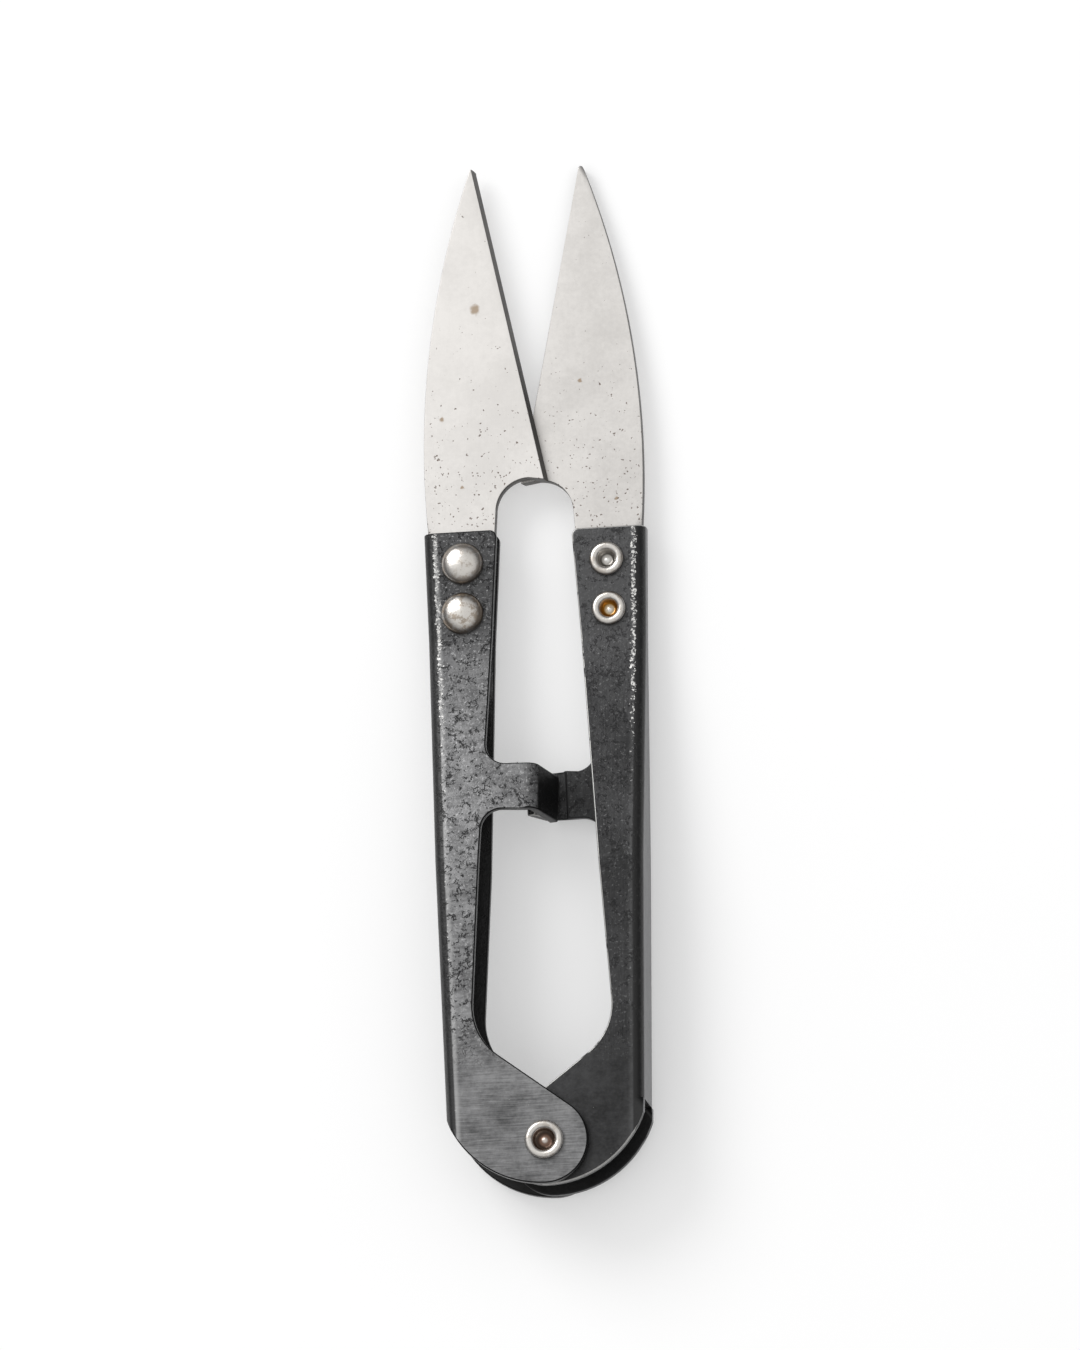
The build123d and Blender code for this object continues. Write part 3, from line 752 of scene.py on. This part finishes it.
def wind_spring():
    """The coil and its two straight legs, as one closed skin."""
    off = math.atan2(LEG_END.y, LEG_END.x) + math.acos(COIL_MM / LEG_END.length)
    swept = math.tau * FULL_TURNS + 3 * math.pi - 2 * off
    start = Matrix.Rotation(math.pi - off, 4, "Z")
    bm = bmesh.new()
    ring = bmesh.ops.create_circle(bm, segments=WIRE_SIDES, radius=WIRE_MM * MM)["verts"]
    upright = Matrix.Rotation(math.pi / 2, 4, "X")
    stand = Matrix.Translation((COIL_MM * MM, 0, -SPRING_RISE_MM / 2 * MM)) @ upright
    bmesh.ops.transform(bm, matrix=start @ stand, verts=ring)
    first = [e for e in bm.edges]
    made = bmesh.ops.spin(
        bm, geom=ring + first, cent=(0, 0, 0), axis=(0, 0, 1), angle=-swept, steps=COIL_STEPS,
        dvec=(0, 0, SPRING_RISE_MM * MM / COIL_STEPS), use_merge=False,
    )["geom_last"]
    last = [g for g in made if isinstance(g, bmesh.types.BMEdge)]
    for edges, side in ((first, 1), (last, -1)):
        root = Vector((-side * COIL_MM * math.cos(off), COIL_MM * math.sin(off), 0))
        leg = Vector((-side * LEG_END.x, LEG_END.y, 0)) - root
        drawn = bmesh.ops.extrude_edge_only(bm, edges=edges)["geom"]
        verts = [g for g in drawn if isinstance(g, bmesh.types.BMVert)]
        bmesh.ops.translate(bm, verts=verts, vec=leg * MM)
        rim = [g for g in drawn if isinstance(g, bmesh.types.BMEdge)]
        rim = [e for e in rim if all(v in verts for v in e.verts)]
        bmesh.ops.edgeloop_fill(bm, edges=rim)
    bmesh.ops.recalc_face_normals(bm, faces=bm.faces)
    for face in bm.faces:
        face.smooth = len(face.verts) == 4
    mesh = bpy.data.meshes.new("torsion_spring_wire")
    bm.to_mesh(mesh)
    bm.free()
    piece = bpy.data.objects.new("torsion_spring_wire", mesh)
    bpy.context.scene.collection.objects.link(piece)
    return piece


def drawn_wire():
    """Spring wire: hard, smooth, dark grey from tempering, with fine drawing lines."""
    material, tree, mm = new_material("tempered_spring_wire")
    scale = add(tree, "ShaderNodeTexNoise", {"Vector": mm, "Scale": 1 / 0.9, "Detail": 4.0})
    fine = add(tree, "ShaderNodeTexNoise", {"Vector": mm, "Scale": 1 / 0.12, "Detail": 2.0})
    bump = add(tree, "ShaderNodeBump", {
        "Height": fine.outputs["Fac"], "Strength": 0.3, "Distance": 0.01 * MM,
    })
    shader = add(tree, "ShaderNodeBsdfPrincipled", {
        "Base Color": blend_colour(tree, scale.outputs["Fac"], linear("#6e6c6a"), linear("#a8a6a3")),
        "Metallic": 1.0, "Roughness": 0.32, "Normal": bump.outputs[0],
    })
    add(tree, "ShaderNodeOutputMaterial", {"Surface": shader.outputs[0]})
    return material


spring = wind_spring()
spring.data.materials.append(drawn_wire())
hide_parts("torsion_spring")
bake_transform(spring)
print("spring faces", len(spring.data.polygons))

# %% [markdown]
# ## Table
# The snips lie on a softly lit white table, touching it with the pivot head, the right collar's rivet
# heads and the left handle's fold, so the table is a tilted plane just under those places.

# %% Table
GLOW = 0.34  # a light table gives this much of its own, which thins the shadows
TABLE_NORMAL = Vector((0.0116, -0.0442, 0.999)).normalized()
TABLE_POINT = Vector((-0.22, 0.57, -5.97)) * MM
TABLE_HALF_M = 1.6


def table_top():
    """A wide plane of opal acrylic, laid against the tool."""
    bm = bmesh.new()
    bmesh.ops.create_grid(bm, x_segments=2, y_segments=2, size=TABLE_HALF_M)
    tilt = TABLE_NORMAL.to_track_quat("Z", "Y").to_matrix().to_4x4()
    bmesh.ops.transform(bm, matrix=Matrix.Translation(TABLE_POINT) @ tilt, verts=bm.verts)
    mesh = bpy.data.meshes.new("table_top")
    bm.to_mesh(mesh)
    bm.free()
    piece = bpy.data.objects.new("table_top", mesh)
    bpy.context.scene.collection.objects.link(piece)
    material, tree, mm = new_material("opal_acrylic_light_table")
    cloud = add(tree, "ShaderNodeTexNoise", {"Vector": mm, "Scale": 1 / 60, "Detail": 3.0})
    shader = add(tree, "ShaderNodeBsdfPrincipled", {
        "Base Color": blend_colour(tree, cloud.outputs["Fac"], linear("#c8c8c8"), linear("#cccccc")),
        "Roughness": 0.7, "Emission Color": (1.0, 1.0, 1.0, 1.0), "Emission Strength": GLOW,
    })
    add(tree, "ShaderNodeOutputMaterial", {"Surface": shader.outputs[0]})
    mesh.materials.append(material)
    piece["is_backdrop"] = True


table_top()
print("table tilt, degrees:", round(math.degrees(TABLE_NORMAL.angle(Vector((0, 0, 1)))), 2))

# %% [markdown]
# ## Light
# One broad soft lamp high on the left throws the short grey shadow. The room is bright overhead and
# darker at eye level, which makes the rounded folds read black while the flat tops stay grey. Diffuse
# rays are given more light than mirror ones, which no real room does: it keeps the shadows thin
# without washing out the dark folds.

# %% Light
LAMP_AIM = Vector((0, 0.045, 0))  # about the middle of the tool, in metres


def soft_lamp(name, place, size, power):
    """A round area lamp aimed at the tool; place and size in metres, power in watts."""
    lamp = bpy.data.lights.new(name, "AREA")
    lamp.shape = "DISK"
    lamp.size = size
    lamp.energy = power
    holder = bpy.data.objects.new(name, lamp)
    bpy.context.scene.collection.objects.link(holder)
    holder.location = place
    holder.rotation_euler = (LAMP_AIM - Vector(place)).to_track_quat("-Z", "Y").to_euler()
    print(name, "stands off, m:", round((LAMP_AIM - Vector(place)).length, 2))


def room():
    """The surroundings: bright above, dark at eye level, plain white behind the table's edge."""
    world = bpy.data.worlds.new("studio")
    world.use_nodes = True
    tree = world.node_tree
    tree.nodes.clear()
    view = add(tree, "ShaderNodeTexCoord")
    height = add(tree, "ShaderNodeSeparateXYZ", {0: view.outputs["Generated"]}).outputs[2]
    up = ramp(tree, height, 0.35, 0.95)
    seen = blend_colour(tree, up, (0.13, 0.13, 0.135, 1), (0.72, 0.72, 0.71, 1))
    given = blend_colour(tree, up, (0.46, 0.46, 0.46, 1), (1.22, 1.22, 1.22, 1))
    ray = add(tree, "ShaderNodeLightPath").outputs
    light = blend_colour(tree, ray["Is Diffuse Ray"], seen, given)
    colour = blend_colour(tree, ray["Is Camera Ray"], light, linear("#f8f8f8"))
    sky = add(tree, "ShaderNodeBackground", {"Color": colour, "Strength": 1.0})
    add(tree, "ShaderNodeOutputWorld", {"Surface": sky.outputs[0]})
    bpy.context.scene.world = world


room()
soft_lamp("window_lamp", (-0.55, 0.62, 0.75), 0.6, 5.0)
bpy.context.scene.view_settings.view_transform = "Standard"

# %% [markdown]
# ## Camera
# A long lens about a metre away sees the tool almost without perspective. It looks down from a little
# towards the tail and to the right, and is rolled by 1.4 degrees.

# %% Camera
CAMERA_BACK = Vector((0.139, -0.225, 0.964)).normalized()
CAMERA_DISTANCE = 1.05
CAMERA_ROLL = math.radians(-1.4)
LENS_MM = 275.0
NEAR_M, FAR_M = 0.05, 10


def set_camera():
    """Looks at the middle of the tool from CAMERA_BACK, with the tips up."""
    low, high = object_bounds()
    target = (low + high) / 2
    data = bpy.data.cameras.new("camera")
    data.lens = LENS_MM
    data.clip_start, data.clip_end = NEAR_M, FAR_M
    camera = bpy.data.objects.new("camera", data)
    bpy.context.scene.collection.objects.link(camera)
    up = Vector((0, 1, 0))
    up = (up - CAMERA_BACK * up.dot(CAMERA_BACK)).normalized()
    up.rotate(Matrix.Rotation(CAMERA_ROLL, 3, CAMERA_BACK))
    right = up.cross(CAMERA_BACK)
    turn = Matrix((right, up, CAMERA_BACK)).transposed().to_4x4()
    camera.matrix_world = Matrix.Translation(target + CAMERA_BACK * CAMERA_DISTANCE) @ turn
    bpy.context.scene.camera = camera


set_camera()
print("camera distance m:", CAMERA_DISTANCE, "lens mm:", LENS_MM)
